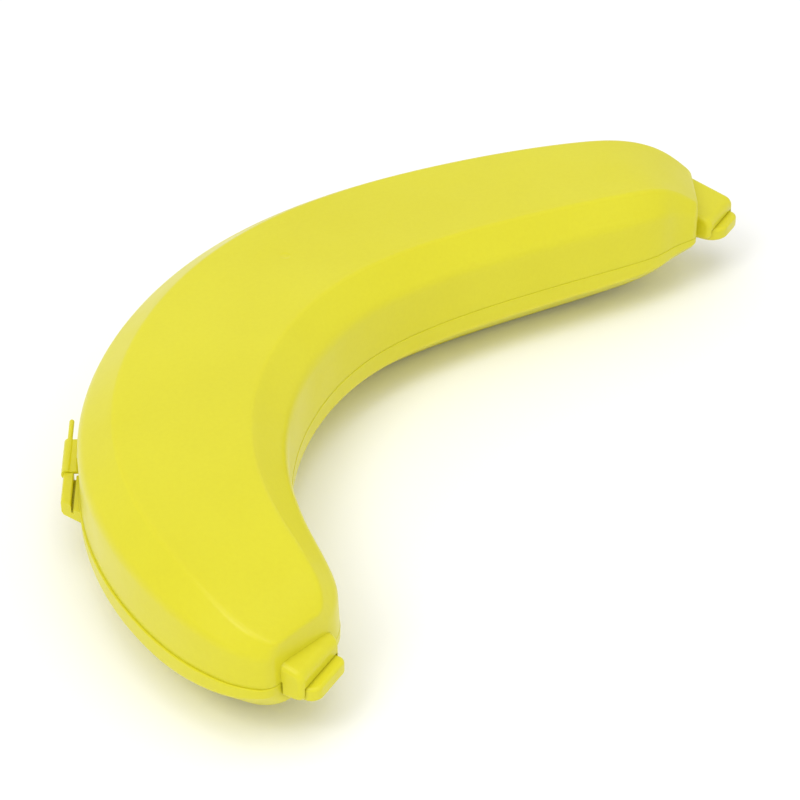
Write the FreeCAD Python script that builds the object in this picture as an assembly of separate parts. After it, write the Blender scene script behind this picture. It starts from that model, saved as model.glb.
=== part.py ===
import FreeCAD, Part
import math, os

# Banana carrying case: two thin moulded half shells, joined by a moulded pin
# hinge on the outside of the bend and closed by a push-on tab at each end.
# Millimetres.  +Z is up, X runs along the hinge pin, the hinge is at +Y and
# the hollow of the bend opens towards -Y.  Z = 0 is the flat underside and
# the origin is the middle of the footprint.

# ---------------------------------------------------------------- dimensions
WALL = 1.6                # wall of both mouldings
DEPTH = 16.5              # lower shell, underside to seam
SEAM_GAP = 0.30           # the dark line between the two rims
ORIGIN_X, ORIGIN_Y = 0.17, -5.58   # plan origin, in the frame of the tables

# Shape tables.  One row per control point along the centre line, from the
# blossom tip to the stem: knots of a clamped cubic spline.
KNOTS = [0, 0, 0, 0, .05, .12, .25, .42, .58, .75, .88, .95, 1, 1, 1, 1]
CENTRE = [(-96.88, 20.65), (-94.54, 23.39), (-86.44, 29.40), (-72.45, 39.29),
          (-44.95, 49.81), (-6.71, 49.03), (37.52, 28.67), (63.70, -10.94),
          (79.27, -49.47), (84.27, -65.75), (84.60, -73.00), (84.70, -77.75)]
TOP_HALF = [7.01, 10.10, 11.92, 13.04, 15.30, 16.59, 16.86, 16.60, 15.14, 13.32, 10.20, 8.60]
INSET_OUT = [1.90, 3.35, 5.51, 6.91, 8.58, 8.69, 8.77, 9.87, 9.93, 7.76, 5.13, 3.34]
INSET_IN = [3.15, 4.57, 6.55, 7.74, 8.21, 8.12, 7.67, 7.41, 6.01, 4.38, 2.74, 1.87]
HEIGHT = [10.65, 12.85, 16.45, 19.12, 20.11, 19.98, 19.91, 18.91, 18.17, 17.06, 13.20, 9.21]
DROP = [6.14, 9.93, 13.95, 16.40, 16.40, 16.40, 16.40, 16.40, 14.82, 11.86, 7.32, 4.72]

SHOULDER_AT = 0.68        # height of the soft shoulder, as a part of HEIGHT
SHOULDER_IN = 0.02        # its inset, as a part of the whole inset
CREASE_R = 2.0            # soft crease between slanted facet and top facet
SHOULDER_R = 6.6
CHINE_RUN = 0.75          # lower shell: slanted chine, run over drop
WALL_PART = 0.31          # upright part of its side wall, as a part of DROP
CHINE_R, BELLY_R = 4.0, 6.0

# rims
STEP = 0.5                        # the lower rim stands this far outside the upper
RIB_FROM, RIB_H = 1.0, 0.9        # locating rib inside the lower rim
RIB_GAP = 0.25

# end tabs: both fronts lie on one line, parallel to the chord of the banana
CHORD_DEG = -29.0                 # direction from tip to stem, from +X
HOODS = {                         # span along the chord, front, height of the
    "tip": (-100.6, -85.3, 33.0, 3.5, 9.0, 3.8),    # roof at the front, whole
    "stem": (107.3, 122.3, 34.15, 2.7, 15.0, 3.2),  # depth, reach below the seam
}
HOOD_WALL = 1.0
HOOD_SLOPE = math.tan(math.radians(15.0))
HOOD_FOOT_R = 1.9                 # lower front corner of its cheeks
HOOD_FRONT_R, HOOD_SIDE_R = 2.6, 1.4
SLOT_TOP = -0.15                  # roof of the slot for the tongue
TONGUES = {                       # front, corner radii at the two ends of it
    "tip": (35.5, 2.8, 1.8),
    "stem": (36.6, 5.0, 2.6),
}
TONGUE_TOP, TONGUE_LOW = -0.45, -4.0
TONGUE_WALL = 1.7
TAB_GAP = 0.3

# hinge
PIN_Y, PIN_R = 76.9, 0.60
PIN_X0, PIN_X1 = -39.5, -8.4      # rooted end in the bracket, free domed end
BORE_R = 0.64
BARREL_R = 1.25
CLIP_X0, CLIP_X1 = -29.9, -17.3
BRACKET_X0, BRACKET_X1 = -45.3, -30.2
PAD_TOP = 5.6
PIN_ROOT = 3.0                    # length of pin set into the bracket
HINGE_TURN = 2.7                  # the pin follows the bend: degrees from +X, in plan

V = FreeCAD.Vector
OX, OY = ORIGIN_X, ORIGIN_Y


# ------------------------------------------------------------- spline helpers
def basis(s):
    k = 3
    s = min(max(s, 0.0), 1.0)
    n = len(KNOTS) - 1
    b = [0.0] * n
    for i in range(n):
        if KNOTS[i] <= s < KNOTS[i + 1]:
            b[i] = 1.0
    if s >= 1.0:
        b[n - 4] = 1.0
    for d in range(1, k + 1):
        c = [0.0] * (n - d)
        for i in range(n - d):
            l = KNOTS[i + d] - KNOTS[i]
            r = KNOTS[i + d + 1] - KNOTS[i + 1]
            v = 0.0
            if l > 0:
                v += (s - KNOTS[i]) / l * b[i]
            if r > 0:
                v += (KNOTS[i + d + 1] - s) / r * b[i + 1]
            c[i] = v
        b = c
    return b


def val(table, s):
    return sum(w * t for w, t in zip(basis(s), table))


def frame(s):
    """point, direction and outward normal of the centre line in plan"""
    b = basis(s)
    x = sum(w * c[0] for w, c in zip(b, CENTRE))
    y = sum(w * c[1] for w, c in zip(b, CENTRE))
    e = 1e-4
    b0, b1 = basis(s - e), basis(s + e)
    tx = sum((w1 - w0) * c[0] for w0, w1, c in zip(b0, b1, CENTRE))
    ty = sum((w1 - w0) * c[1] for w0, w1, c in zip(b0, b1, CENTRE))
    l = math.hypot(tx, ty)
    tx, ty = tx / l, ty / l
    return (x, y), (tx, ty), (-ty, tx)


def upper_corners(s):
    a, o, i, h = val(TOP_HALF, s), val(INSET_OUT, s), val(INSET_IN, s), val(HEIGHT, s)
    hb = SHOULDER_AT * h
    return ([(a + o, 0), (a + o * (1 - SHOULDER_IN), hb), (a, h),
             (-a, h), (-a - i * (1 - SHOULDER_IN), hb), (-a - i, 0)],
            [SHOULDER_R, CREASE_R, CREASE_R, SHOULDER_R])


def lower_corners(s, step=STEP):
    a, o, i, h = val(TOP_HALF, s), val(INSET_OUT, s), val(INSET_IN, s), val(DROP, s)
    wo, wi, r, v = a + o + step, a + i + step, CHINE_RUN * h, WALL_PART * h
    return ([(wo, 0), (wo - .04 * v, -v), (wo - step - r, -h),
             (-wi + step + r, -h), (-wi + .04 * v, -v), (-wi, 0)],
            [CHINE_R, BELLY_R, BELLY_R, CHINE_R])


def line_cross(p, d, q, e):
    den = d[0] * e[1] - d[1] * e[0]
    t = ((q[0] - p[0]) * e[1] - (q[1] - p[1]) * e[0]) / den
    return (p[0] + d[0] * t, p[1] + d[1] * t)


def inset(corners, off, zend):
    """move every edge of the open profile inwards by off; its two free ends
    finish on the level zend"""
    lines = []
    up = 1.0 if corners[2][1] > 0 else -1.0
    for p, q in zip(corners[:-1], corners[1:]):
        dx, dz = q[0] - p[0], q[1] - p[1]
        l = math.hypot(dx, dz)
        nx, nz = -dz / l * up, dx / l * up      # towards the inside
        lines.append(((p[0] + nx * off, p[1] + nz * off), (dx / l, dz / l)))
    out = [line_cross(lines[0][0], lines[0][1], (0, zend), (1, 0))]
    for a, b in zip(lines[:-1], lines[1:]):
        out.append(line_cross(a[0], a[1], b[0], b[1]))
    out.append(line_cross(lines[-1][0], lines[-1][1], (0, zend), (1, 0)))
    return out


def rounded_poles(c, radii, off):
    """control polygon of a smooth quadratic spline that follows the polygon
    c with rounded corners"""
    poles = [c[0]]
    for k in range(1, len(c) - 1):
        p, q, r = c[k - 1], c[k], c[k + 1]
        ax, az = p[0] - q[0], p[1] - q[1]
        bx, bz = r[0] - q[0], r[1] - q[1]
        la, lb = math.hypot(ax, az), math.hypot(bx, bz)
        cosang = (ax * bx + az * bz) / la / lb
        turn = math.pi - math.acos(max(-1, min(1, cosang)))
        rad = max(radii[k - 1] - off, 0.7)
        t = 2 * rad * math.tan(turn / 2)
        t = min(t, 0.42 * la, 0.42 * lb)
        poles += [(q[0] + ax / la * t, q[1] + az / la * t), q,
                  (q[0] + bx / lb * t, q[1] + bz / lb * t)]
    poles.append(c[-1])
    return poles


def place(s, n, z):
    (x, y), t, nn = frame(s)
    return V(x + nn[0] * n - OX, y + nn[1] * n - OY, z + DEPTH)


def stations(s0, s1):
    base = [0, .006, .013, .021, .03, .04, .052, .066, .082, .10, .125, .155, .19,
            .23, .275, .32, .365, .41, .455, .50, .545, .59, .635, .68, .725, .77,
            .81, .845, .875, .90, .92, .936, .95, .962, .973, .982, .99, 1]
    return [s0 + (s1 - s0) * b for b in base]


def skin(corner_fn, s0, s1, off_fn, zend):
    """one spline surface through the rounded profiles of all stations"""
    st = stations(s0, s1)
    rows = []
    for s in st:
        c, r = corner_fn(s)
        off = off_fn(s)
        c = inset(c, off, zend) if (off or zend) else c
        rows.append([place(s, n, z) for n, z in rounded_poles(c, r, off)])
    npole = len(rows[0])
    par = [(s - st[0]) / (st[-1] - st[0]) for s in st]
    grid = []
    for j in range(npole):
        cv = Part.BSplineCurve()
        cv.interpolate(Points=[r[j] for r in rows], Parameters=par)
        grid.append(cv)
    knots, mults = grid[0].getKnots(), grid[0].getMultiplicities()
    poles = []                                    # [along section][along s]
    for cv in grid:
        poles.append(cv.getPoles())
    uk = list(range(npole - 1))                   # quadratic, clamped
    um = [3] + [1] * (npole - 3) + [3]
    surf = Part.BSplineSurface()
    surf.buildFromPolesMultsKnots(poles, um, mults, uk, knots, False, False, 2, 3)
    return surf


def closed_solid(surf):
    """the body under (or over) a skin: skin, flat seam face, two flat ends"""
    u0, u1, v0, v1 = surf.bounds()
    f = surf.toShape()
    ca, cb = surf.uIso(u0), surf.uIso(u1)         # the two seam curves
    ea, eb = surf.vIso(v0), surf.vIso(v1)         # the end profiles
    A, B = ca.toShape(), cb.toShape()
    a0, a1 = surf.getD0(u0, v0), surf.getD0(u0, v1)
    b0, b1 = surf.getD0(u1, v0), surf.getD0(u1, v1)
    e0, e1 = ea.toShape(), eb.toShape()
    L0, L1 = Part.makeLine(a0, b0), Part.makeLine(a1, b1)
    seam = Part.Face(Part.Wire(Part.__sortEdges__([A, L1, B, L0])))
    end0 = Part.Face(Part.Wire(Part.__sortEdges__([e0, L0])))
    end1 = Part.Face(Part.Wire(Part.__sortEdges__([e1, L1])))
    sh = Part.makeShell([f, seam, end0, end1])
    sh.sewShape()
    sol = Part.Solid(sh)
    if sol.Volume < 0:
        sol.reverse()
    return sol


def wall_here(s):
    """the wall, a little more across the section where the ends pinch in"""
    d = min(s, 1 - s) * 225.0
    return WALL * (1 + 0.55 * math.exp(-d / 7.0))


def outline(off, s0=0.0, s1=1.0):
    """closed plan wire of the seam, moved inwards by off"""
    st = stations(s0, s1)
    def side(sign):
        pts = []
        for s in st:
            a = val(TOP_HALF, s)
            w = a + (val(INSET_OUT, s) if sign > 0 else val(INSET_IN, s))
            pinch = 1 + 0.45 * math.exp(-min(s, 1 - s) * 225.0 / 7.0)
            pts.append(place(s, sign * (w - off * pinch), 0))
        c = Part.BSplineCurve()
        c.interpolate(Points=pts)
        return c.toShape(), pts[0], pts[-1]
    A, a0, a1 = side(1)
    B, b0, b1 = side(-1)
    return Part.Wire(Part.__sortEdges__([A, Part.makeLine(a1, b1), B, Part.makeLine(b0, a0)]))


def prism(off, z0, z1, end=0.0):
    """upright body on the seam outline, moved inwards by off"""
    ds = end / 225.0
    f = Part.Face(outline(off, ds, 1 - ds))
    f.translate(V(0, 0, z0))
    return f.extrude(V(0, 0, z1 - z0))


def box(x0, x1, y0, y1, z0, z1):
    return Part.makeBox(x1 - x0, y1 - y0, z1 - z0, V(x0, y0, z0))


def whole(shape):
    """the largest solid of a boolean result"""
    s = max(shape.Solids, key=lambda q: q.Volume)
    return s


# ------------------------------------------------------------ the two shells
upper_body = closed_solid(skin(upper_corners, 0, 1, lambda s: 0.0, 0))
lower_body = closed_solid(skin(lower_corners, 0, 1, lambda s: 0.0, 0))
S_IN = 1.75 / 225.0
upper_void = closed_solid(skin(upper_corners, S_IN, 1 - S_IN, wall_here, -1.0))
lower_void = closed_solid(skin(lambda s: lower_corners(s, 0.0), S_IN, 1 - S_IN, wall_here, 1.0))

half_gap = SEAM_GAP / 2
far = 400.0
above = box(-far, far, -far, far, DEPTH + half_gap, DEPTH + 60)
below = box(-far, far, -far, far, -1, DEPTH - half_gap)

upper_shell = upper_body.cut(upper_void).common(above)
# rebate inside the rim that passes over the locating rib
upper_shell = upper_shell.cut(prism(RIB_FROM - RIB_GAP, -1, RIB_H + RIB_GAP, 0.75))
upper_shell = whole(upper_shell)

lower_shell = lower_body.cut(lower_void).common(below)
rib = prism(RIB_FROM, -half_gap, RIB_H, 1.15).cut(prism(WALL - .05, -2, 3, 1.70))
lower_shell = lower_shell.fuse(rib)
# three low feet, flat on Z = 0
for s_foot in (.17, .45, .74):
    (fx, fy), ft, fn = frame(s_foot)
    foot = Part.makeBox(24, 11, 1.2, V(-12, -5.5, 0))
    foot.rotate(V(0, 0, 0), V(0, 0, 1), math.degrees(math.atan2(ft[1], ft[0])))
    foot.translate(V(fx - OX, fy - OY, 0))
    lower_shell = lower_shell.fuse(foot)
lower_shell = whole(lower_shell)


# ----------------------------------------------------------------- end tabs
def tab_box(u0, u1, v0, v1, z0, z1):
    """box in the frame of the tabs: u outwards, v along the chord, z from the
    seam"""
    return Part.makeBox(u1 - u0, v1 - v0, z1 - z0, V(u0, v0, z0))


def to_case(shape):
    ang = CHORD_DEG - 90.0
    shape = shape.copy()
    shape.rotate(V(0, 0, 0), V(0, 0, 1), ang)
    shape.translate(V(-OX, -OY, DEPTH))
    return shape


def hood_outer(v0, v1, front, top, deep, skirt):
    """solid wedge of the hood, sloping down to its front"""
    back = front - deep
    lean = math.atan(HOOD_SLOPE)
    r, turn, f = HOOD_FRONT_R, math.pi / 2 - lean, HOOD_FOOT_R
    t = r * math.tan(turn / 2)
    p0, p1 = V(back, v0, -skirt), V(front - f, v0, -skirt)
    q1 = V(front - f + f * math.sin(math.pi / 4), v0, -skirt + f - f * math.cos(math.pi / 4))
    q2 = V(front, v0, -skirt + f)
    p2 = V(front, v0, top - t)
    p3 = V(front - r + r * math.cos(turn / 2), v0, top - t + r * math.sin(turn / 2))
    p4 = V(front - t * math.cos(lean), v0, top + t * math.sin(lean))
    p5 = V(back, v0, top + deep * HOOD_SLOPE)
    w = Part.Wire([Part.makeLine(p0, p1), Part.Arc(p1, q1, q2).toShape(), Part.makeLine(q2, p2),
                   Part.Arc(p2, p3, p4).toShape(), Part.makeLine(p4, p5), Part.makeLine(p5, p0)])
    s = Part.Face(w).extrude(V(0, v1 - v0, 0))
    e = [q for q in s.Edges if (abs(q.CenterOfMass.y - v0) < .01 or abs(q.CenterOfMass.y - v1) < .01)
         and q.CenterOfMass.x > back + .01]
    return s.makeFillet(HOOD_SIDE_R, e)


def hood_void(v0, v1, front, top, deep, skirt):
    """the pocket under the hood: room for the tongue, and a hollow roof"""
    w = HOOD_WALL
    slot = tab_box(front - deep - 1, front + 1, v0 + w, v1 - w, -skirt - 1, SLOT_TOP)
    back, nose = front - deep - 1, front - w - .6
    pts = [V(back, v0 + w, -.5), V(nose, v0 + w, -.5),
           V(nose, v0 + w, top - w - .6 + w * HOOD_SLOPE),
           V(back, v0 + w, top - w - .6 + (deep + 1) * HOOD_SLOPE)]
    roof = Part.Face(Part.makePolygon(pts + pts[:1])).extrude(V(0, v1 - v0 - 2 * w, 0))
    return slot.fuse(roof)


def tongue(v0, v1, hood_front, deep, front, r0, r1):
    """flat tongue with a turned-down front and round corners"""
    a, b = v0 + HOOD_WALL + TAB_GAP, v1 - HOOD_WALL - TAB_GAP
    back = hood_front - deep
    s = tab_box(back, front, a, b, TONGUE_LOW, TONGUE_TOP)
    for y, r in ((a, r0), (b, r1)):
        e = [q for q in s.Edges if abs(q.CenterOfMass.x - front) < .01
             and abs(q.CenterOfMass.y - y) < .01]
        s = s.makeFillet(r, e)
    for z, r in ((TONGUE_TOP, 0.8), (TONGUE_LOW, 0.9)):
        e = [q for q in s.Edges if abs(q.CenterOfMass.z - z) < .01
             and q.CenterOfMass.x > back + .01]
        s = s.makeFillet(r, e)
    w = TONGUE_WALL
    return s.cut(tab_box(back - 1, front - w, a + w, b - w, TONGUE_LOW - 1, TONGUE_TOP - w))


hoods, tongues = {}, {}
# room round the lower shell for the cheeks of the hoods
lower_zone = closed_solid(skin(lower_corners, 0, 1, lambda s: -0.45, 0))
ends = []
for fc in lower_zone.Faces:
    c = fc.CenterOfMass
    n = fc.normalAt(0, 0)
    if abs(n.z) < 0.05 and fc.Area < 500 and fc.Surface.TypeId == "Part::GeomPlane":
        ends.append(fc)
for fc in ends:
    n = fc.normalAt(0, 0)
    c = fc.CenterOfMass
    if lower_body.isInside(c + n * 2.0, 0.01, True):
        n = n * -1
    lower_zone = lower_zone.fuse(fc.extrude(n * 0.45))
rim_zone = lower_zone.copy()
rim_zone.translate(V(0, 0, 0.35))
# and for their way up past the rim as the case opens
way_up = []
for dz in (-1.2, -2.4, -3.6):
    z = lower_zone.copy()
    z.translate(V(0, 0, dz))
    way_up.append(z)

for name, (v0, v1, front, top, deep, skirt) in HOODS.items():
    h = to_case(hood_outer(v0, v1, front, top, deep, skirt).cut(hood_void(v0, v1, front, top, deep, skirt)))
    # the hood joins the upper shell only: a gap is left over the lower rim
    h = h.cut(upper_body).cut(lower_zone).cut(rim_zone)
    for z in way_up:
        h = h.cut(z)
    hoods[name] = whole(h)
    tf, r0, r1 = TONGUES[name]
    t = to_case(tongue(v0, v1, front, deep, tf, r0, r1)).cut(lower_body)
    tongues[name] = whole(t)


# -------------------------------------------------------------------- hinge
px = lambda x: x - OX
py = PIN_Y - OY
zs = DEPTH                                        # pin axis lies in the seam

def turned(shape):
    shape = shape.copy()
    shape.rotate(V(px(-17.3), py, zs), V(0, 0, 1), HINGE_TURN)
    return shape


# pin: moulded with the bracket, free and domed at its other end
pin = Part.makeCylinder(PIN_R, PIN_X1 - PIN_X0 - PIN_R, V(px(PIN_X0), py, zs), V(1, 0, 0))
pin = pin.fuse(Part.makeSphere(PIN_R, V(px(PIN_X1 - PIN_R), py, zs))).removeSplitter()

# bracket of the lower shell: a trough-shaped plate with a raised outer rim
# that carries on the line of the pin; its tip end is cut off at a slant
y_wall = 70.5 - OY
sec = [(py + 0.65, zs + 0.25), (py + 0.35, zs + 0.65), (py - 1.5, zs + 0.65), (py - 1.75, zs + 0.40),
       (py - 1.75, zs - 1.4), (py - 2.3, zs - 1.4), (py - 2.3, zs - 0.18), (y_wall, zs - 0.18),
       (y_wall, zs - 3.0), (py + 0.2, zs - 3.0), (py + 0.65, zs - 2.4)]
pts = [V(px(BRACKET_X0), y, z) for y, z in sec]
bracket = Part.Face(Part.makePolygon(pts + pts[:1])).extrude(V(BRACKET_X1 - BRACKET_X0, 0, 0))
slant = Part.Face(Part.makePolygon([V(px(BRACKET_X0) - 1, py + 4, 0), V(px(-41.0) + 3.4, py + 4, 0),
                                    V(px(-41.0), py, 0), V(px(-45.0), py - 4.9, 0),
                                    V(px(BRACKET_X0) - 1, py - 6.5, 0), V(px(BRACKET_X0) - 1, py + 4, 0)]))
slant = slant.extrude(V(0, 0, 60))
bracket = bracket.cut(slant)
bracket = bracket.cut(Part.makeCylinder(PIN_R, PIN_ROOT, V(px(BRACKET_X1) - PIN_ROOT, py, zs), V(1, 0, 0)))
bracket = whole(turned(bracket).cut(lower_body))
pin = pin.common(box(px(BRACKET_X1) - PIN_ROOT, 100, py - 5, py + 5, zs - 5, zs + 5))
pin = turned(pin)

# clip of the upper shell: barrel round the pin, short web, pad on the wall
cx0, cl = px(CLIP_X0), CLIP_X1 - CLIP_X0
barrel = Part.makeCylinder(BARREL_R, cl, V(cx0, py, zs), V(1, 0, 0))
web = box(cx0, cx0 + cl, py - 5.0, py, zs + 0.2, zs + 0.95)
pad_sec = [(py - 6.5, zs + 0.2), (py - 2.35, zs + 0.2), (py - 2.35, zs + 2.2),
           (py - 2.6, zs + PAD_TOP - 1.0), (py - 3.4, zs + PAD_TOP), (py - 6.5, zs + PAD_TOP)]
pts = [V(cx0, y, z) for y, z in pad_sec]
pad = Part.Face(Part.makePolygon(pts + pts[:1])).extrude(V(cl, 0, 0))
clip = barrel.fuse([web, pad])
clip = clip.cut(Part.makeCylinder(BORE_R, cl + 2, V(cx0 - 1, py, zs), V(1, 0, 0)))
clip = turned(clip).cut(upper_body)
clip = whole(clip.removeSplitter())

# ------------------------------------------------------------------- export
NODES = {
    "lower_shell": lower_shell,
    "tip_latch_tongue": tongues["tip"],
    "stem_latch_tongue": tongues["stem"],
    "hinge_bracket": bracket,
    "hinge_pin": pin,
    "upper_shell": upper_shell,
    "tip_latch_hood": hoods["tip"],
    "stem_latch_hood": hoods["stem"],
    "hinge_clip": clip,
}
os.makedirs("parts", exist_ok=True)
for name, shape in NODES.items():
    shape.exportStep("parts/" + name + ".step")
    bb = shape.BoundBox
    print("%-20s solids %d valid %s vol %8.1f  X %.2f %.2f  Y %.2f %.2f  Z %.2f %.2f" % (
        name, len(shape.Solids), shape.isValid(), shape.Volume,
        bb.XMin, bb.XMax, bb.YMin, bb.YMax, bb.ZMin, bb.ZMax))
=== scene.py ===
import bpy, bmesh, math
import numpy as np
from mathutils import Vector, Matrix


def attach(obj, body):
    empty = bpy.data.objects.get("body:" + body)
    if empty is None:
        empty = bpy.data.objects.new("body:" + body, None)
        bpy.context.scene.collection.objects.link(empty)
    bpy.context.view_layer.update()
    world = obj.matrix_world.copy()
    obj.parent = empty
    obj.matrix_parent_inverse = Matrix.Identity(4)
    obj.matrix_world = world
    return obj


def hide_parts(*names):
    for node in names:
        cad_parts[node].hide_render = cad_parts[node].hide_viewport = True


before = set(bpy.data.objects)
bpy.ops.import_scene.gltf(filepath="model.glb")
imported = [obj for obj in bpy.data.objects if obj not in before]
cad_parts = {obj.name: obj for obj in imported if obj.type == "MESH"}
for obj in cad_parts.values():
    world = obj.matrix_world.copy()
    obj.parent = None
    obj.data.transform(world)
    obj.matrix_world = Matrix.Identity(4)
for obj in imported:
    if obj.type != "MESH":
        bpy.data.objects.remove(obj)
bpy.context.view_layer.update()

# ------------------------------------------------------------------ tables
# Same shape tables as the frame, in millimetres.
WALL, DEPTH, GAP = 1.6, 16.5, 0.03
OX, OY = 0.17, -5.58
KN = [0, 0, 0, 0, .05, .12, .25, .42, .58, .75, .88, .95, 1, 1, 1, 1]
CENTRE = np.array([(-96.88, 20.65), (-94.54, 23.39), (-86.44, 29.40), (-72.45, 39.29),
          (-44.95, 49.81), (-6.71, 49.03), (37.52, 28.67), (63.70, -10.94),
          (79.27, -49.47), (84.27, -65.75), (84.60, -73.00), (84.70, -77.75)])
TOP_HALF = np.array([7.01, 10.10, 11.92, 13.04, 15.30, 16.59, 16.86, 16.60, 15.14, 13.32, 10.20, 8.60])
INSET_OUT = np.array([1.90, 3.35, 5.51, 6.91, 8.58, 8.69, 8.77, 9.87, 9.93, 7.76, 5.13, 3.34])
INSET_IN = np.array([3.15, 4.57, 6.55, 7.74, 8.21, 8.12, 7.67, 7.41, 6.01, 4.38, 2.74, 1.87])
HEIGHT = np.array([10.65, 12.85, 16.45, 19.12, 20.11, 19.98, 19.91, 18.91, 18.17, 17.06, 13.20, 9.21])
DROP = np.array([6.14, 9.93, 13.95, 16.40, 16.40, 16.40, 16.40, 16.40, 14.82, 11.86, 7.32, 4.72])
SHOULDER_AT, SHOULDER_IN = 0.68, 0.02
CREASE_R, SHOULDER_R = 2.0, 6.6
CHINE_RUN, WALL_PART, CHINE_R, BELLY_R = 0.75, 0.31, 4.0, 6.0
STEP = 0.5
RIB_FROM, RIB_H, RIB_GAP = 1.0, 0.9, 0.25
CHORD = math.radians(-29.0)
HOODS = {"tip": (-100.6, -85.3, 33.0, 3.5, 9.0, 3.8), "stem": (107.3, 122.3, 34.15, 2.7, 15.0, 3.2)}
HOOD_WALL, HOOD_SLOPE, HOOD_FOOT_R = 1.0, math.tan(math.radians(15.0)), 1.9
HOOD_FRONT_R, HOOD_SIDE_R, SLOT_TOP = 2.6, 1.4, -0.15
TONGUES = {"tip": (35.5, 2.8, 1.8), "stem": (36.6, 5.0, 2.6)}
TONGUE_TOP, TONGUE_LOW, TONGUE_WALL, TAB_GAP = -0.45, -4.0, 1.7, 0.3
PIN_Y, PIN_R, BARREL_R, BORE_R = 76.9, 0.6, 1.25, 0.64
PIN_X0, PIN_X1 = -33.2, -8.4
CLIP_X0, CLIP_X1 = -29.9, -17.3
BRACKET_X0, BRACKET_X1 = -45.3, -30.0
PAD_TOP = 5.6
HALF = GAP / 2
SPEED = (3 * float(np.linalg.norm(CENTRE[1] - CENTRE[0])) / .05,
         3 * float(np.linalg.norm(CENTRE[-1] - CENTRE[-2])) / .05)


# ----------------------------------------------------------------- helpers
def basis(s):
    s = np.clip(np.atleast_1d(np.asarray(s, float)), 0, 1)
    kn = np.asarray(KN, float)
    b = np.zeros((len(s), len(kn) - 1))
    for i in range(len(kn) - 1):
        if kn[i + 1] > kn[i]:
            last = kn[i + 1] == kn[-1]
            b[:, i] = (s >= kn[i]) & ((s < kn[i + 1]) | (last & (s <= kn[i + 1])))
    for d in range(1, 4):
        c = np.zeros((len(s), len(kn) - 1 - d))
        for i in range(len(kn) - 1 - d):
            l, r = kn[i + d] - kn[i], kn[i + d + 1] - kn[i + 1]
            if l > 0:
                c[:, i] += (s - kn[i]) / l * b[:, i]
            if r > 0:
                c[:, i] += (kn[i + d + 1] - s) / r * b[:, i + 1]
        b = c
    return b


def centre(s):
    p = basis(s) @ CENTRE - np.array([OX, OY])
    e = 1e-4
    t = basis(np.clip(s + e, 0, 1)) @ CENTRE - basis(np.clip(s - e, 0, 1)) @ CENTRE
    t /= np.linalg.norm(t, axis=1)[:, None]
    return p, t, np.stack([-t[:, 1], t[:, 0]], -1)


def corners(s, upper, outer, step=0.0):
    """profile polygon of one side, from the seam to the middle: (n, z) arrays"""
    b = basis(s)
    a = b @ TOP_HALF
    i = b @ (INSET_OUT if outer else INSET_IN)
    if upper:
        h = b @ HEIGHT
        return [(a + i + (0 if outer else .36), 0 * a), (a + i * (1 - SHOULDER_IN), SHOULDER_AT * h), (a, h), (0 * a, h)]
    d = b @ DROP
    w, r, v = a + i + step, CHINE_RUN * d, WALL_PART * d
    return [(w, 0 * a), (w - .04 * v, -v), (w - step - r, -d), (0 * a, -d)]


def inset(c, off, upper):
    """every edge of the profile moved inwards by off (array)"""
    up = 1.0 if upper else -1.0
    ln = []
    for (n0, z0), (n1, z1) in zip(c[:-1], c[1:]):
        dn, dz = n1 - n0, z1 - z0
        l = np.hypot(dn, dz)
        ln.append((n0 - dz / l * up * off, z0 + dn / l * up * off, dn / l, dz / l))
    out = []
    n0, z0, dn, dz = ln[0]
    out.append((n0 - dn / dz * z0, 0 * z0))
    for (pn, pz, dn, dz), (qn, qz, en, ez) in zip(ln[:-1], ln[1:]):
        den = dn * ez - dz * en
        t = ((qn - pn) * ez - (qz - pz) * en) / den
        out.append((pn + dn * t, pz + dz * t))
    pn, pz, dn, dz = ln[-1]
    out.append((0 * pn, pz))
    return out


def corner_arc(c, k, rad):
    """start, control and end of the rounded corner k"""
    (pn, pz), (qn, qz), (rn, rz) = c[k - 1], c[k], c[k + 1]
    an, az, bn, bz = pn - qn, pz - qz, rn - qn, rz - qz
    la, lb = np.hypot(an, az), np.hypot(bn, bz)
    turn = np.pi - np.arccos(np.clip((an * bn + az * bz) / la / lb, -1, 1))
    t = np.minimum(rad * np.tan(turn / 2), 0.21 * np.minimum(la, lb))
    return ((qn + an / la * t, qz + az / la * t), (qn, qz), (qn + bn / lb * t, qz + bz / lb * t))


def bez(arc, u):
    (a, b, c) = arc
    w0, w1, w2 = (1 - u) ** 2, 2 * u * (1 - u), u * u
    return (w0 * a[0] + w1 * b[0] + w2 * c[0], w0 * a[1] + w1 * b[1] + w2 * c[1])


def mix(a, b, u):
    return (a[0] * (1 - u) + b[0] * u, a[1] * (1 - u) + b[1] * u)


def pinch(s, amount=0.55):
    d = np.minimum(s, 1 - s) * 225.0
    return 1 + amount * np.exp(-d / 7.0)


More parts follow.
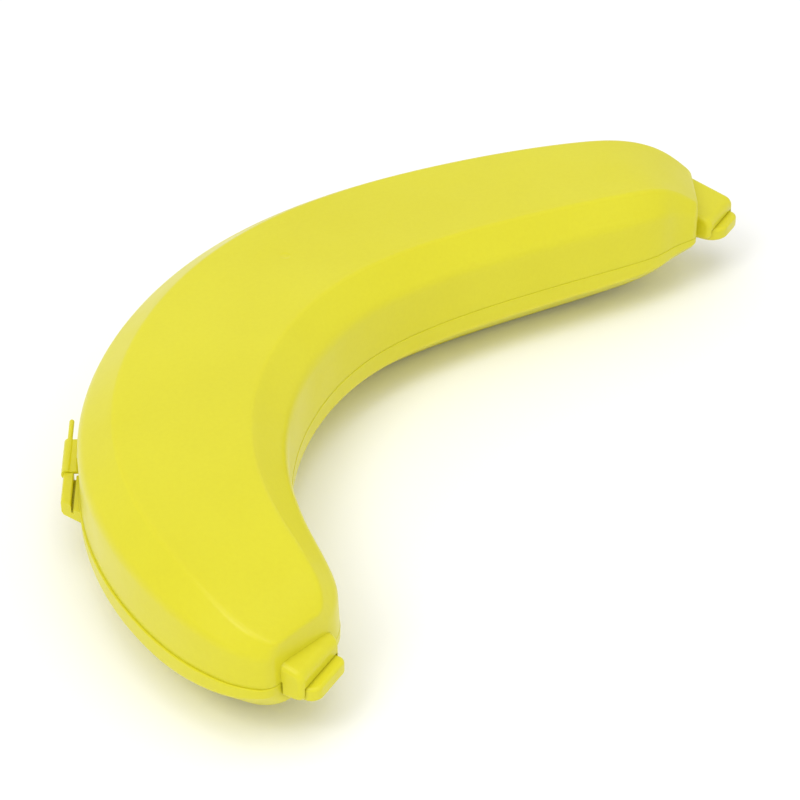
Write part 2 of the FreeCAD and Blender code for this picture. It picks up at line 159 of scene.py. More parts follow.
def profile(upper, off=0.0):
    """list of (function(s, outer) -> (n, z)) from the seam to the crease end,
    for the outer (off 0) or the inner surface"""
    rads = (SHOULDER_R, CREASE_R) if upper else (CHINE_R, BELLY_R)
    cuts = []

    def cn(s, outer):
        c = corners(s, upper, outer, 0.0 if off or upper else STEP)
        return inset(c, off * pinch(s), upper) if off else c

    def at(kind, u):
        def f(s, outer):
            c = cn(s, outer)
            a1 = corner_arc(c, 1, max(rads[0] - off, .7))
            a2 = corner_arc(c, 2, max(rads[1] - off, .7))
            if kind == 0:
                return mix(c[0], a1[0], u)
            if kind == 1:
                return bez(a1, u)
            if kind == 2:
                return mix(a1[2], a2[0], u)
            return bez(a2, u)
        return f
    n0, n1, n2, n3 = (9, 8, 6, 8) if not off else (6, 6, 4, 6)
    cuts += [at(0, u) for u in np.linspace(0, 1, n0)[1:]]
    cuts += [at(1, u) for u in np.linspace(0, 1, n1)[1:]]
    cuts += [at(2, u) for u in np.linspace(0, 1, n2)[1:]]
    cuts += [at(3, u) for u in np.linspace(0, 1, n3)[1:]]
    return cuts


NS, NC, NE = 210, 7, 13
_t = np.linspace(0, 1, NS)
SIDE_T = _t - 0.55 * np.sin(2 * np.pi * _t) / (2 * np.pi)      # denser at both ends
SIDE_T = 0.5 * _t + 0.5 * (0.5 - 0.5 * np.cos(np.pi * _t))


def ring(fn, e, rc):
    """closed ring of points (mm, z from the seam).  fn(s, outer) gives (n, z);
    e is how far both ends stand back, rc the plan radius of the corners"""
    s_lo, s_hi = e / SPEED[0], 1 - e / SPEED[1]

    def side(s, outer):
        n, z = fn(s, outer)
        p, t, nn = centre(s)
        sg = 1 if outer else -1
        q = p + nn * (sg * n)[:, None]
        return np.c_[q, z]
    out = []
    dense = s_lo + (s_hi - s_lo) * (np.linspace(0, 1, 900))
    trims = {}
    for outer in (True, False):
        q = side(dense, outer)
        d = np.r_[0, np.cumsum(np.linalg.norm(np.diff(q, axis=0), axis=1))]
        trims[outer] = (np.interp(rc, d, dense), np.interp(d[-1] - rc, d, dense))
    so = trims[True][0] + (trims[True][1] - trims[True][0]) * SIDE_T
    si = trims[False][0] + (trims[False][1] - trims[False][0]) * SIDE_T
    O, I = side(so, True), side(si, False)
    ko = side(np.array([s_lo, s_hi]), True)
    ki = side(np.array([s_lo, s_hi]), False)

    def end_line(a, b):
        l = np.linalg.norm(b - a)
        f = min(rc / max(l, 1e-9), .5)
        return a + (b - a) * f, b - (b - a) * f
    u = np.linspace(0, 1, NC + 2)[1:-1, None]

    def corner(a, k, b):
        w = .80                                # a little fuller than a parabola
        b0, b1, b2 = (1 - u) ** 2, 2 * u * (1 - u) * w, u * u
        return (b0 * a + b1 * k + b2 * b) / (b0 + b1 + b2)
    h0, h1 = end_line(ko[1], ki[1])             # stem end, outer to inner
    g0, g1 = end_line(ki[0], ko[0])             # tip end, inner to outer
    v = np.linspace(0, 1, NE)[:, None]
    pts = [O, corner(O[-1], ko[1], h0), h0 + (h1 - h0) * v, corner(h1, ki[1], I[-1]),
           I[::-1], corner(I[0], ki[0], g0), g0 + (g1 - g0) * v, corner(g1, ko[0], O[0])]
    return np.concatenate(pts)


def end_back(z, top0, slope, r):
    """how far the end wall leans back near its upper edge"""
    turn = math.pi / 2 - math.atan(slope)
    zw = top0 - r * math.sin(turn) + r * (1 - math.cos(turn)) * slope
    q = min(max((z - zw) / r, 0.0), math.sin(turn))
    return r * (1 - math.cos(math.asin(q)))


def new_object(name, verts, faces, body, smooth=True, scale=0.001):
    me = bpy.data.meshes.new(name)
    me.from_pydata([tuple(v) for v in (np.asarray(verts) * scale).tolist()], [], faces)
    me.validate()
    ob = bpy.data.objects.new(name, me)
    bpy.context.scene.collection.objects.link(ob)
    bm = bmesh.new()
    bm.from_mesh(me)
    bmesh.ops.remove_doubles(bm, verts=bm.verts, dist=2e-6)
    bmesh.ops.dissolve_degenerate(bm, dist=1e-7, edges=bm.edges)
    bmesh.ops.recalc_face_normals(bm, faces=bm.faces)
    bm.to_mesh(me)
    bm.free()
    if smooth:
        me.polygons.foreach_set("use_smooth", [True] * len(me.polygons))
    me.update()
    return ob


def rings_to_mesh(rings):
    n = len(rings[0])
    verts = np.concatenate(rings)
    verts = verts + np.array([0, 0, DEPTH])
    verts[:, 2] = np.maximum(verts[:, 2], 0.0)        # the underside is flat
    faces = []
    for j in range(len(rings) - 1):
        a, b = j * n, (j + 1) * n
        for k in range(n):
            m = (k + 1) % n
            faces.append((a + k, a + m, b + m, b + k))
    return verts, faces


def const(fn, z):
    return lambda s, outer: (fn(s, outer)[0], 0 * fn(s, outer)[0] + z)


def seam_n(upper, off=0.0):
    def f(s, outer):
        c = corners(s, upper, outer)
        n, z = c[0]
        return n - off, 0 * n
    return f


def level_on_wall(upper, z, off=0.0):
    """point of the seam-side wall at height z above the seam"""
    def f(s, outer):
        c = corners(s, upper, outer, 0.0 if off or upper else STEP)
        if off:
            c = inset(c, off * pinch(s), upper)
        (n0, z0), (n1, z1) = c[0], c[1]
        return n0 + (n1 - n0) * (z - z0) / (z1 - z0), 0 * n0 + z
    return f


def shell_rings(upper):
    """rings from the middle of the outside, over the rim, to the middle of
    the inside"""
    top = HEIGHT if upper else DROP
    sg = 1 if upper else -1
    slopes = [abs(top[1] - top[0]) * 60 / SPEED[0], abs(top[-2] - top[-1]) * 60 / SPEED[1]]
    slope = sum(slopes) / 2
    top0 = (top[0] + top[-1]) / 2
    out = []
    prof = profile(upper)
    NF = 9
    # outer facet, from the middle out to the crease
    def facet(cuts, e0, rc0, off):
        last = cuts[-1]
        rs = []
        for k in range(NF, 0, -1):
            q = k / NF

            def f(s, outer, q=q):
                n, z = last(s, outer)
                return n * (1 - q), z
            rs.append(ring(f, e0 + q * 8.0, max(rc0 * (1 - q), 0.02)))
        return rs

    def wall_rings(cuts, e_base, r, rc_seam, rc_top, off):
        rs = []
        s_end = np.array([0.0])
        for j, f in enumerate(cuts):
            z = abs(float(f(s_end, True)[1][0]))
            e = e_base + end_back(z, top[0] - off, slope, r)
            q = j / (len(cuts) - 1)
            rs.append(ring(f, e, rc_seam * (1 - q) + rc_top * q))
        e_last = e
        return rs, e_last
    wr, e_last = wall_rings(prof, 0.0, 1.15, 2.0, 1.3, 0)
    outer = facet(prof, e_last, 1.3, 0) + wr[::-1]
    # inner surface
    proi = profile(upper, WALL)
    wi, ei_last = wall_rings(proi, 1.75, 1.0, 1.2, 1.0, WALL)
    inner = wi + facet(proi, ei_last, 1.0, WALL)[::-1]
    rim = []
    if upper:
        e = 0.0
        lo = HALF
        rim.append(ring(level_on_wall(True, lo + .16), 0, 2.0))
        rim.append(ring(lambda s, o: (level_on_wall(True, 0)(s, o)[0] - .02, 0 * s + lo + .05), .02, 2.0))
        rim.append(ring(lambda s, o: (level_on_wall(True, 0)(s, o)[0] - .09, 0 * s + lo), .08, 2.0))
        skirt = RIB_FROM - RIB_GAP
        rim.append(ring(lambda s, o: (seam_n(True)(s, o)[0] - skirt * pinch(s, .45) + .1, 0 * s + lo), .7, 2.0))
        rim.append(ring(lambda s, o: (seam_n(True)(s, o)[0] - skirt * pinch(s, .45), 0 * s + lo + .1), .75, 2.0))
        zt = RIB_H + RIB_GAP
        rim.append(ring(lambda s, o: (seam_n(True)(s, o)[0] - skirt * pinch(s, .45), 0 * s + zt - .1), .75, 2.0))
        rim.append(ring(lambda s, o: (seam_n(True)(s, o)[0] - skirt * pinch(s, .45) - .1, 0 * s + zt), .85, 2.0))
        def lw(s, o):
            n, z = level_on_wall(True, zt, WALL)(s, o)
            return n + .15, z
        rim.append(ring(lw, 1.65, 1.3))
        rim.append(ring(level_on_wall(True, zt + .15, WALL), 1.75, 1.2))
        start_o = [r for r in outer]
        # drop the wall rings below the rim edge
    else:
        hi = -HALF

        def out(z, off):
            def f(s, o):
                n, zz = level_on_wall(False, z)(s, o)
                return n - (off if o else .35 * off), zz
            return f
        rim.append(ring(out(hi - .30, 0), 0, 2.0))
        rim.append(ring(out(hi - .15, .02), .02, 2.0))
        rim.append(ring(out(hi - .05, .08), .07, 2.0))
        rim.append(ring(out(hi, .20), .16, 2.0))
        rim.append(ring(lambda s, o: (seam_n(False)(s, o)[0] - .3, 0 * s + hi), .5, 1.9))
        rf = RIB_FROM
        rim.append(ring(lambda s, o: (seam_n(False)(s, o)[0] - rf * pinch(s, .45), 0 * s + hi), 1.15, 1.9))
        rim.append(ring(lambda s, o: (seam_n(False)(s, o)[0] - rf * pinch(s, .45), 0 * s + RIB_H - .12), 1.15, 1.9))
        rim.append(ring(lambda s, o: (seam_n(False)(s, o)[0] - (rf + .12) * pinch(s, .45), 0 * s + RIB_H), 1.25, 1.8))
        rim.append(ring(lambda s, o: (seam_n(False)(s, o)[0] - (WALL - .12) * pinch(s, .45), 0 * s + RIB_H), 1.65, 1.4))
        rim.append(ring(lambda s, o: (seam_n(False)(s, o)[0] - WALL * pinch(s, .45), 0 * s + RIB_H - .12), 1.75, 1.2))
        rim.append(ring(lambda s, o: (seam_n(False)(s, o)[0] - WALL * pinch(s, .5), 0 * s + hi), 1.75, 1.2))
        rim.append(ring(level_on_wall(False, -1.4, WALL), 1.75, 1.2))
    zr = [np.abs(r[:, 2]).mean() for r in outer]
    lim = abs(rim[0][:, 2]).mean() + .12
    outer = [r for r in outer if np.abs(r[:, 2]).mean() > lim]
    lim = abs(rim[-1][:, 2]).mean() + .1
    inner = [r for r in inner if np.abs(r[:, 2]).mean() > lim]
    return outer + rim + inner


# ---------------------------------------------------------------- the shells
def make_shell(upper, name):
    rings = shell_rings(upper)
    v, f = rings_to_mesh(rings)
    return new_object(name, v, f, None)


lid = make_shell(True, "lid_shell")
base = make_shell(False, "base_shell")


def gate_mark(ob, x, y, r=1.1, deep=.10):
    """the small sunk mark of the injection point, pressed into the top facet"""
    me = ob.data
    bm = bmesh.new()
    bm.from_mesh(me)
    top = max(v.co.z for v in bm.verts)
    cut = [f for f in bm.faces if (f.calc_center_median().xy - Vector((x, y)) * .001).length < .006
           and f.normal.z > .8 and f.calc_center_median().z > top - .004]
    ed = list({e for f in cut for e in f.edges})
    bmesh.ops.subdivide_edges(bm, edges=ed, cuts=7, use_grid_fill=True)
    for v in bm.verts:
        if v.co.z > top - .004:
            d = (v.co.xy - Vector((x, y)) * .001).length * 1000
            if d < r + .5:
                q = min(max((r + .3 - d) / .5, 0), 1)
                v.co.z -= deep * .001 * q * q * (3 - 2 * q)
    bm.to_mesh(me)
    bm.free()
    me.update()


# ------------------------------------------------------- small mesh workshop
def prism_obj(name, pts, depth, axis):
    """pts: polygon corners (3D, mm), extruded by depth along axis"""
    bm = bmesh.new()
    vs = [bm.verts.new(p) for p in pts]
    f = bm.faces.new(vs)
    r = bmesh.ops.extrude_face_region(bm, geom=[f])
    mv = [g for g in r["geom"] if isinstance(g, bmesh.types.BMVert)]
    bmesh.ops.translate(bm, verts=mv, vec=Vector(axis) * depth)
    bmesh.ops.recalc_face_normals(bm, faces=bm.faces)
    me = bpy.data.meshes.new(name)
    bm.to_mesh(me)
    bm.free()
    ob = bpy.data.objects.new(name, me)
    bpy.context.scene.collection.objects.link(ob)
    return ob


def bevel_edges(ob, pick, width, seg):
    bm = bmesh.new()
    bm.from_mesh(ob.data)
    es = [e for e in bm.edges if pick((e.verts[0].co + e.verts[1].co) / 2, e)]
    bmesh.ops.bevel(bm, geom=es, offset=width, segments=seg, profile=.5, affect='EDGES',
                    clamp_overlap=True)
    bm.to_mesh(ob.data)
    bm.free()


def settle(ob):
    """apply all modifiers of ob"""
    dg = bpy.context.evaluated_depsgraph_get()
    me = bpy.data.meshes.new_from_object(ob.evaluated_get(dg))
    ob.modifiers.clear()
    old = ob.data
    ob.data = me
    bpy.data.meshes.remove(old)


def boolean(ob, other, op):
    m = ob.modifiers.new("b", 'BOOLEAN')
    m.operation = op
    m.object = other
    m.solver = 'EXACT'
    settle(ob)
    bpy.data.objects.remove(other, do_unlink=True)


def soften(ob, width, seg=3, angle=28):
    m = ob.modifiers.new("bev", 'BEVEL')
    m.width = width
    m.segments = seg
    m.limit_method = 'ANGLE'
    m.angle_limit = math.radians(angle)
    m.use_clamp_overlap = True
    m.miter_outer = 'MITER_ARC'
    settle(ob)
    ob.data.polygons.foreach_set("use_smooth", [True] * len(ob.data.polygons))
    m = ob.modifiers.new("wn", 'WEIGHTED_NORMAL')
    m.keep_sharp = False
    m.weight = 60
    settle(ob)


def finish_local(ob, matrix=None):
    """mm to m, and into place"""
    me = ob.data
    if matrix is not None:
        me.transform(matrix)
    me.transform(Matrix.Scale(0.001, 4))
    me.name = ob.name
    me.update()


TAB_M = Matrix.Translation((-OX, -OY, DEPTH)) @ Matrix.Rotation(CHORD - math.pi / 2, 4, 'Z')
TAB_INV = TAB_M.inverted()


def end_plane(end):
    """point and outward direction of an end wall, in the tab frame (mm)"""
    s = np.array([0.0]) if end == "tip" else np.array([1.0])
    p, t, n = centre(s)
    out = -t[0] if end == "tip" else t[0]
    q = TAB_INV @ Vector((p[0][0], p[0][1], DEPTH))
    d = (TAB_INV.to_3x3() @ Vector((out[0], out[1], 0))).normalized()
    return q, d


def slab(name, q, d, start, length, z0, z1):
    """block in front of the end wall: from start mm to start+length along d"""
    side = Vector((-d.y, d.x, 0))
    o = Vector((q.x, q.y, 0))
    pts = []
    for a, b in ((start, -40), (start + length, -40), (start + length, 40), (start, 40)):
        p = o + d * a + side * b
        pts.append((p.x, p.y, z0))
    return prism_obj(name, pts, z1 - z0, (0, 0, 1))


def arc_pts(cx, cz, r, a0, a1, n):
    return [(cx + r * math.cos(a), cz + r * math.sin(a)) for a in np.linspace(a0, a1, n)]


def soft_prism(name, sec, v0, v1, r, seg, free):
    """section (u, z) drawn out along v, with its long outline rounded off by r
    at both ends; free(u, z) tells which outline points are rounded"""
    n = len(sec)
    P = np.array(sec)
    d = np.roll(P, -1, 0) - P
    d /= np.linalg.norm(d, axis=1)[:, None]
    nrm = np.stack([d[:, 1], -d[:, 0]], -1)
    if sum(P[k][0] * P[(k + 1) % n][1] - P[(k + 1) % n][0] * P[k][1] for k in range(n)) < 0:
        nrm = -nrm
    fr = [free(*P[k]) for k in range(n)]
    move = np.zeros_like(P)
    for k in range(n):
        a, b = nrm[k - 1], nrm[k]
        m = a + b
        l = m @ m
        m = m * 2 / l if l > 1e-9 else m
        if not fr[k]:
            move[k] = 0
        elif not fr[k - 1]:
            # slide along the straight end of the outline
            e = d[k - 1]
            move[k] = -e * (1.0 / max(abs(e @ b), .2)) * np.sign(e @ b)
        elif not fr[(k + 1) % n]:
            e = d[k]
            move[k] = -e * (1.0 / max(abs(e @ a), .2)) * np.sign(e @ a)
        else:
            move[k] = -m
    rows = []
    for q in range(seg + 1):
        t = math.pi / 2 * q / seg
        rows.append((v0 + r * (1 - math.sin(t)), r * (1 - math.cos(t))))
    lay = rows[::-1]                                   # from the end face inwards
    lay = [(v0 + r - r * math.cos(math.pi / 2 * q / seg), r - r * math.sin(math.pi / 2 * q / seg)) for q in range(seg + 1)]
    lay += [(v0 + v1 - a, b) for a, b in lay[::-1]]
    verts, faces = [], []
    for v, off in lay:
        for k in range(n):
            p = P[k] + move[k] * off
            verts.append((p[0], v, p[1]))
    for j in range(len(lay) - 1):
        for k in range(n):
            m = (k + 1) % n
            faces.append((j * n + k, j * n + m, (j + 1) * n + m, (j + 1) * n + k))
    faces.append(tuple(range(n)))
    faces.append(tuple(range((len(lay) - 1) * n, len(lay) * n)))
    me = bpy.data.meshes.new(name)
    me.from_pydata(verts, [], faces)
    bm = bmesh.new()
    bm.from_mesh(me)
    bmesh.ops.recalc_face_normals(bm, faces=bm.faces)
    bm.to_mesh(me)
    bm.free()
    ob = bpy.data.objects.new(name, me)
    bpy.context.scene.collection.objects.link(ob)
    return ob


def make_hood(end):
    v0, v1, front, top, deep, skirt = HOODS[end]
    back = front - deep
    lean = math.atan(HOOD_SLOPE)
    r, turn, f = HOOD_FRONT_R, math.pi / 2 - lean, HOOD_FOOT_R
    t = r * math.tan(turn / 2)
    sec = [(back, -skirt)]
    sec += arc_pts(front - f, -skirt + f, f, -math.pi / 2, 0, 9)
    sec += arc_pts(front - r, top - t, r, 0, turn, 12)
    sec += [(back, top + deep * HOOD_SLOPE)]
    ob = soft_prism(end + "_hood", sec, v0, v1, HOOD_SIDE_R, 8, lambda u, z: True)
    w = HOOD_WALL
    slot = prism_obj("c1", [(back - 1, v0 + w, -skirt - 1), (front + 1, v0 + w, -skirt - 1),
                            (front + 1, v0 + w, SLOT_TOP), (back - 1, v0 + w, SLOT_TOP)], v1 - v0 - 2 * w, (0, 1, 0))
    boolean(ob, slot, 'DIFFERENCE')
    nose = front - w - .6
    roof = prism_obj("c2", [(back - 1, v0 + w, -.5), (nose, v0 + w, -.5),
                            (nose, v0 + w, top - w - .6 + w * HOOD_SLOPE),
                            (back - 1, v0 + w, top - w - .6 + (deep + 1) * HOOD_SLOPE)],
                     v1 - v0 - 2 * w, (0, 1, 0))
    boolean(ob, roof, 'DIFFERENCE')
    q, d = end_plane(end)
    # above the seam it starts inside the end wall, below it stays clear
    boolean(ob, slab("k1", q, d, -.9 - 40, 40, -10, 20), 'DIFFERENCE')
    boolean(ob, slab("k2", q, d, .42 - 40, 40, -10, .30), 'DIFFERENCE')
    soften(ob, .16, 3, 40)
    finish_local(ob, TAB_M)
    return ob


def make_tongue(end):
    v0, v1, hf, _, deep, _ = HOODS[end]
    front, r0, r1 = TONGUES[end]
    a, b = v0 + HOOD_WALL + TAB_GAP, v1 - HOOD_WALL - TAB_GAP
    x0 = hf - deep
    plan = [(x0, a)] + [(front - r0 + r0 * math.sin(t), a + r0 - r0 * math.cos(t)) for t in np.linspace(0, math.pi / 2, 11)]
    plan += [(front - r1 + r1 * math.cos(t), b - r1 + r1 * math.sin(t)) for t in np.linspace(0, math.pi / 2, 9)] + [(x0, b)]
    ob = prism_obj(end + "_tongue", [(u, v, TONGUE_LOW) for u, v in plan], TONGUE_TOP - TONGUE_LOW, (0, 0, 1))
    bevel_edges(ob, lambda m, e: (abs(m.z - TONGUE_TOP) < .01 or abs(m.z - TONGUE_LOW) < .01) and m.x > x0 + .01, .8, 5)
    w = TONGUE_WALL
    pocket = prism_obj("c3", [(x0 - 1, a + w, TONGUE_LOW - 1), (front - w, a + w, TONGUE_LOW - 1),
                              (front - w, b - w, TONGUE_LOW - 1), (x0 - 1, b - w, TONGUE_LOW - 1)],
                       TONGUE_TOP - w - TONGUE_LOW + 1, (0, 0, 1))
    boolean(ob, pocket, 'DIFFERENCE')
    q, d = end_plane(end)
    boolean(ob, slab("k1", q, d, -.9 - 40, 40, -10, 20), 'DIFFERENCE')
    soften(ob, .16, 3, 40)
    finish_local(ob, TAB_M)
    return ob


gate_mark(lid, 33.3, 33.7)
hoods = [make_hood("tip"), make_hood("stem")]
tongues = [make_tongue("tip"), make_tongue("stem")]


# ---------------------------------------------------------------------- hinge
def px(x):
    return x - OX


PY, ZS = PIN_Y - OY, DEPTH
# the pin follows the bend: 2.7 degrees from X
HINGE_M = (Matrix.Translation((px(-17.3), PY, 0)) @ Matrix.Rotation(math.radians(2.7), 4, 'Z')
           @ Matrix.Translation((-px(-17.3), -PY, 0)))


def make_pin():
    prof = [(PIN_X0, 0.0)]
    prof += [(PIN_X0, PIN_R)]
    xe = PIN_X1 - PIN_R
    for x in np.linspace(PIN_X0 + .2, xe, 12):
        prof.append((x, PIN_R))
    for a in np.linspace(0, math.pi / 2, 9)[1:]:
        prof.append((xe + PIN_R * math.sin(a), PIN_R * math.cos(a)))
    n = 40
    verts, faces = [], []
    for x, r in prof:
        for k in range(n):
            t = 2 * math.pi * k / n
            verts.append(tuple(HINGE_M @ Vector((px(x), PY + r * math.cos(t), ZS + r * math.sin(t)))))
    for j in range(len(prof) - 1):
        for k in range(n):
            m = (k + 1) % n
            faces.append((j * n + k, j * n + m, (j + 1) * n + m, (j + 1) * n + k))
    return new_object("pin", verts, faces, None)


def make_bracket():
    y_wall = 71.6 - OY
    sec = [(PY + .65, ZS + .25), (PY + .35, ZS + .65), (PY - 1.5, ZS + .65), (PY - 1.75, ZS + .40),
           (PY - 1.75, ZS - 1.4), (PY - 2.3, ZS - 1.4), (PY - 2.3, ZS - .18), (y_wall, ZS - .18),
           (y_wall, ZS - 3.0), (PY + .2, ZS - 3.0), (PY + .65, ZS - 2.4)]
    ob = prism_obj("bracket", [(px(BRACKET_X0), y, z) for y, z in sec], BRACKET_X1 - BRACKET_X0, (1, 0, 0))
    x0 = px(BRACKET_X0)
    cut = prism_obj("c", [(x0 - 1, PY + 4, -10), (px(-41.0) + 3.4, PY + 4, -10), (px(-41.0), PY, -10),
                          (px(-45.0), PY - 4.9, -10), (x0 - 1, PY - 6.5, -10)], 60, (0, 0, 1))
    boolean(ob, cut, 'DIFFERENCE')
    soften(ob, .2, 3, 20)
    finish_local(ob, HINGE_M)
    return ob


def make_clip():
    x0, cl = px(CLIP_X0), CLIP_X1 - CLIP_X0
    n = 48
    def tube(r, a, l, name):
        pts = [(a, PY + r * math.cos(2 * math.pi * k / n), ZS + r * math.sin(2 * math.pi * k / n)) for k in range(n)]
        return prism_obj(name, pts, l, (1, 0, 0))
    ob = tube(BARREL_R, x0, cl, "clip")
    web = prism_obj("w", [(x0, PY - 4.4, ZS + .2), (x0, PY, ZS + .2), (x0, PY, ZS + .95), (x0, PY - 4.4, ZS + .95)],
                    cl, (1, 0, 0))
    boolean(ob, web, 'UNION')
    y_in = PY - 4.6
    sec = [(y_in, ZS + .2), (PY - 2.35, ZS + .2), (PY - 2.35, ZS + 2.2),
           (PY - 2.6, ZS + PAD_TOP - 1.0), (PY - 3.4, ZS + PAD_TOP), (y_in, ZS + PAD_TOP)]
    boolean(ob, prism_obj("p", [(x0, y, z) for y, z in sec], cl, (1, 0, 0)), 'UNION')
    boolean(ob, tube(BORE_R, x0 - 1, cl + 2, "h"), 'DIFFERENCE')
    soften(ob, .22, 3, 35)
    finish_local(ob, HINGE_M)
    return ob


def make_foot(s, name):
    p, t, n = centre(np.array([s]))
    a = math.atan2(t[0][1], t[0][0])
    ob = prism_obj(name, [(-12, -5.5, 0), (12, -5.5, 0), (12, 5.5, 0), (-12, 5.5, 0)], 1.2, (0, 0, 1))
    bevel_edges(ob, lambda m, e: abs(m.z - .6) < .01, 1.2, 5)
    soften(ob, .08, 2, 40)
    finish_local(ob, Matrix.Translation((p[0][0], p[0][1], 0)) @ Matrix.Rotation(a, 4, 'Z'))
    return ob


feet = [make_foot(s, "foot_" + n) for s, n in ((.17, "tip"), (.45, "bend"), (.74, "stem"))]


pin, bracket, clip = make_pin(), make_bracket(), make_clip()


# ------------------------------------------------------------------ material
def plastic(name, base=(0.705, 0.655, 0.020), seed=0.0):
    m = bpy.data.materials.new(name)
    m.use_nodes = True
    nt = m.node_tree
    nt.nodes.clear()
    N, L = nt.nodes.new, nt.links.new
    out = N("ShaderNodeOutputMaterial")
    bs = N("ShaderNodeBsdfPrincipled")
    L(bs.outputs[0], out.inputs[0])
    tc = N("ShaderNodeTexCoord")
    mp = N("ShaderNodeMapping")
    mp.inputs["Location"].default_value = (seed, seed * .7, seed * .3)
    L(tc.outputs["Object"], mp.inputs[0])
    # slow drift of colour, as pigment and wall thickness vary
    n1 = N("ShaderNodeTexNoise")
    n1.inputs["Scale"].default_value = 22.0
    n1.inputs["Detail"].default_value = 3.0
    L(mp.outputs[0], n1.inputs["Vector"])
    r1 = N("ShaderNodeValToRGB")
    r1.color_ramp.elements[0].position = .30
    r1.color_ramp.elements[1].position = .72
    b = base
    r1.color_ramp.elements[0].color = (b[0] * .965, b[1] * .955, b[2] * .86, 1)
    r1.color_ramp.elements[1].color = (min(b[0] * 1.01, 1), min(b[1] * 1.01, 1), b[2] * 1.12, 1)
    L(n1.outputs[0], r1.inputs[0])
    # fine pigment speckle
    n2 = N("ShaderNodeTexNoise")
    n2.inputs["Scale"].default_value = 900.0
    n2.inputs["Detail"].default_value = 2.0
    L(mp.outputs[0], n2.inputs["Vector"])
    mx = N("ShaderNodeMixRGB")
    mx.blend_type = 'OVERLAY'
    mx.inputs[0].default_value = .05
    L(r1.outputs[0], mx.inputs[1])
    L(n2.outputs[0], mx.inputs[2])
    L(mx.outputs[0], bs.inputs["Base Color"])
    # satin gloss with rubbed patches
    n3 = N("ShaderNodeTexNoise")
    n3.inputs["Scale"].default_value = 60.0
    n3.inputs["Detail"].default_value = 4.0
    L(mp.outputs[0], n3.inputs["Vector"])
    mr = N("ShaderNodeMapRange")
    mr.inputs["From Min"].default_value = .3
    mr.inputs["From Max"].default_value = .7
    mr.inputs["To Min"].default_value = .29
    mr.inputs["To Max"].default_value = .40
    L(n3.outputs[0], mr.inputs[0])
    L(mr.outputs[0], bs.inputs["Roughness"])
    bs.inputs["IOR"].default_value = 1.49
    bs.inputs["Specular IOR Level"].default_value = .34
    bs.inputs["Subsurface Weight"].default_value = .18
    bs.inputs["Subsurface Radius"].default_value = (1.0, .85, .12)
    bs.inputs["Subsurface Scale"].default_value = .0022
    # mould texture and the slight waviness of a thin wall
    n4 = N("ShaderNodeTexNoise")
    n4.inputs["Scale"].default_value = 1500.0
    n4.inputs["Detail"].default_value = 3.0
    L(mp.outputs[0], n4.inputs["Vector"])
    b1 = N("ShaderNodeBump")
    b1.inputs["Strength"].default_value = .10
    b1.inputs["Distance"].default_value = .0002
    L(n4.outputs[0], b1.inputs["Height"])
    n5 = N("ShaderNodeTexNoise")
    n5.inputs["Scale"].default_value = 45.0
    n5.inputs["Detail"].default_value = 1.0
    L(mp.outputs[0], n5.inputs["Vector"])
    b2 = N("ShaderNodeBump")
    b2.inputs["Strength"].default_value = .25
    b2.inputs["Distance"].default_value = .0006
    L(n5.outputs[0], b2.inputs["Height"])
    L(b1.outputs[0], b2.inputs["Normal"])
    L(b2.outputs[0], bs.inputs["Normal"])
    return m


MAT = plastic("yellow_polypropylene")
MAT_IN = MAT


def dress(ob, body, *nodes):
    ob.data.materials.clear()
    ob.data.materials.append(MAT)
    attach(ob, body)
    if nodes:
        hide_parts(*nodes)


dress(lid, "case_lid", "upper_shell")
dress(base, "case_base", "lower_shell")
for ft in feet:
    dress(ft, "case_base")
dress(hoods[0], "case_lid", "tip_latch_hood")
dress(hoods[1], "case_lid", "stem_latch_hood")
dress(tongues[0], "case_base", "tip_latch_tongue")
dress(tongues[1], "case_base", "stem_latch_tongue")
dress(pin, "case_base", "hinge_pin")
dress(bracket, "case_base", "hinge_bracket")
dress(clip, "case_lid", "hinge_clip")


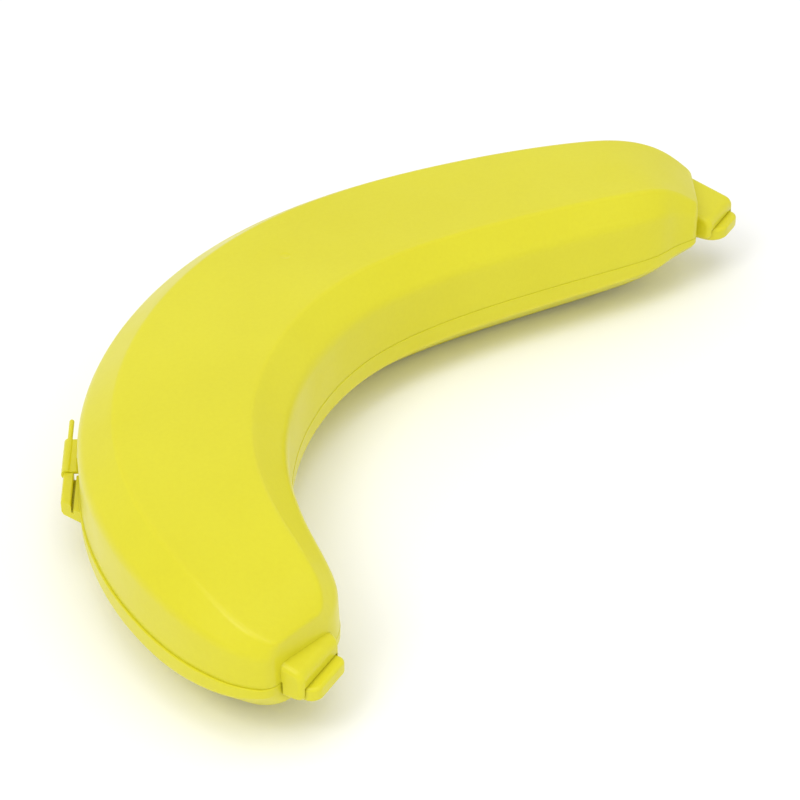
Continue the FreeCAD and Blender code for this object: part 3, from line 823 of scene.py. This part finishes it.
# --------------------------------------------------------------------- stage
def emit_free_material(name, col, rough):
    m = bpy.data.materials.new(name)
    m.use_nodes = True
    nt = m.node_tree
    bs = nt.nodes["Principled BSDF"]
    n = nt.nodes.new("ShaderNodeTexNoise")
    n.inputs["Scale"].default_value = 6.0
    r = nt.nodes.new("ShaderNodeValToRGB")
    r.color_ramp.elements[0].color = (col[0] * .995, col[1] * .995, col[2] * .995, 1)
    r.color_ramp.elements[1].color = (*col, 1)
    nt.links.new(n.outputs[0], r.inputs[0])
    nt.links.new(r.outputs[0], bs.inputs["Base Color"])
    bs.inputs["Roughness"].default_value = rough
    return m


bpy.ops.mesh.primitive_plane_add(size=12, location=(0, 0, 0))
floor = bpy.context.object
floor.name = "floor"
floor.data.materials.append(emit_free_material("floor_white", (.98, .98, .98), .9))

sc = bpy.context.scene
w = bpy.data.worlds.new("studio")
sc.world = w
w.use_nodes = True
w.node_tree.nodes["Background"].inputs[0].default_value = (1, 1, 1, 1)
w.node_tree.nodes["Background"].inputs[1].default_value = 0.78


def area(name, loc, target, size, power, size_y=None):
    d = bpy.data.lights.new(name, 'AREA')
    d.energy = power
    d.shape = 'RECTANGLE'
    d.size = size
    d.size_y = size_y or size
    o = bpy.data.objects.new(name, d)
    sc.collection.objects.link(o)
    o.location = loc
    o.rotation_euler = (Vector(target) - Vector(loc)).to_track_quat('-Z', 'Y').to_euler()
    return o


area("key", (-.55, .45, .85), (0, 0, .01), .4, 2.3)
area("fill", (-.7, -.75, .55), (0, 0, .01), .8, 0.5)
area("top", (-.20, 0, 1.0), (0, 0, .01), .8, 2.7)

cam = bpy.data.cameras.new("cam")
cam.sensor_width = 36
cam.sensor_fit = 'HORIZONTAL'
cam.lens = 2515.6 * 36 / 800
cam.clip_start = .02
cam.clip_end = 20
co = bpy.data.objects.new("cam", cam)
sc.collection.objects.link(co)
el, dist = math.radians(35.0), .600
target = Vector((-OX, -OY, DEPTH)) * .001
co.location = target + Vector((-math.cos(el), 0, math.sin(el))) * dist
co.rotation_euler = (target - co.location).to_track_quat('-Z', 'Y').to_euler()
sc.camera = co
sc.view_settings.view_transform = 'Standard'
sc.view_settings.look = 'None'
sc.view_settings.exposure = 0.0
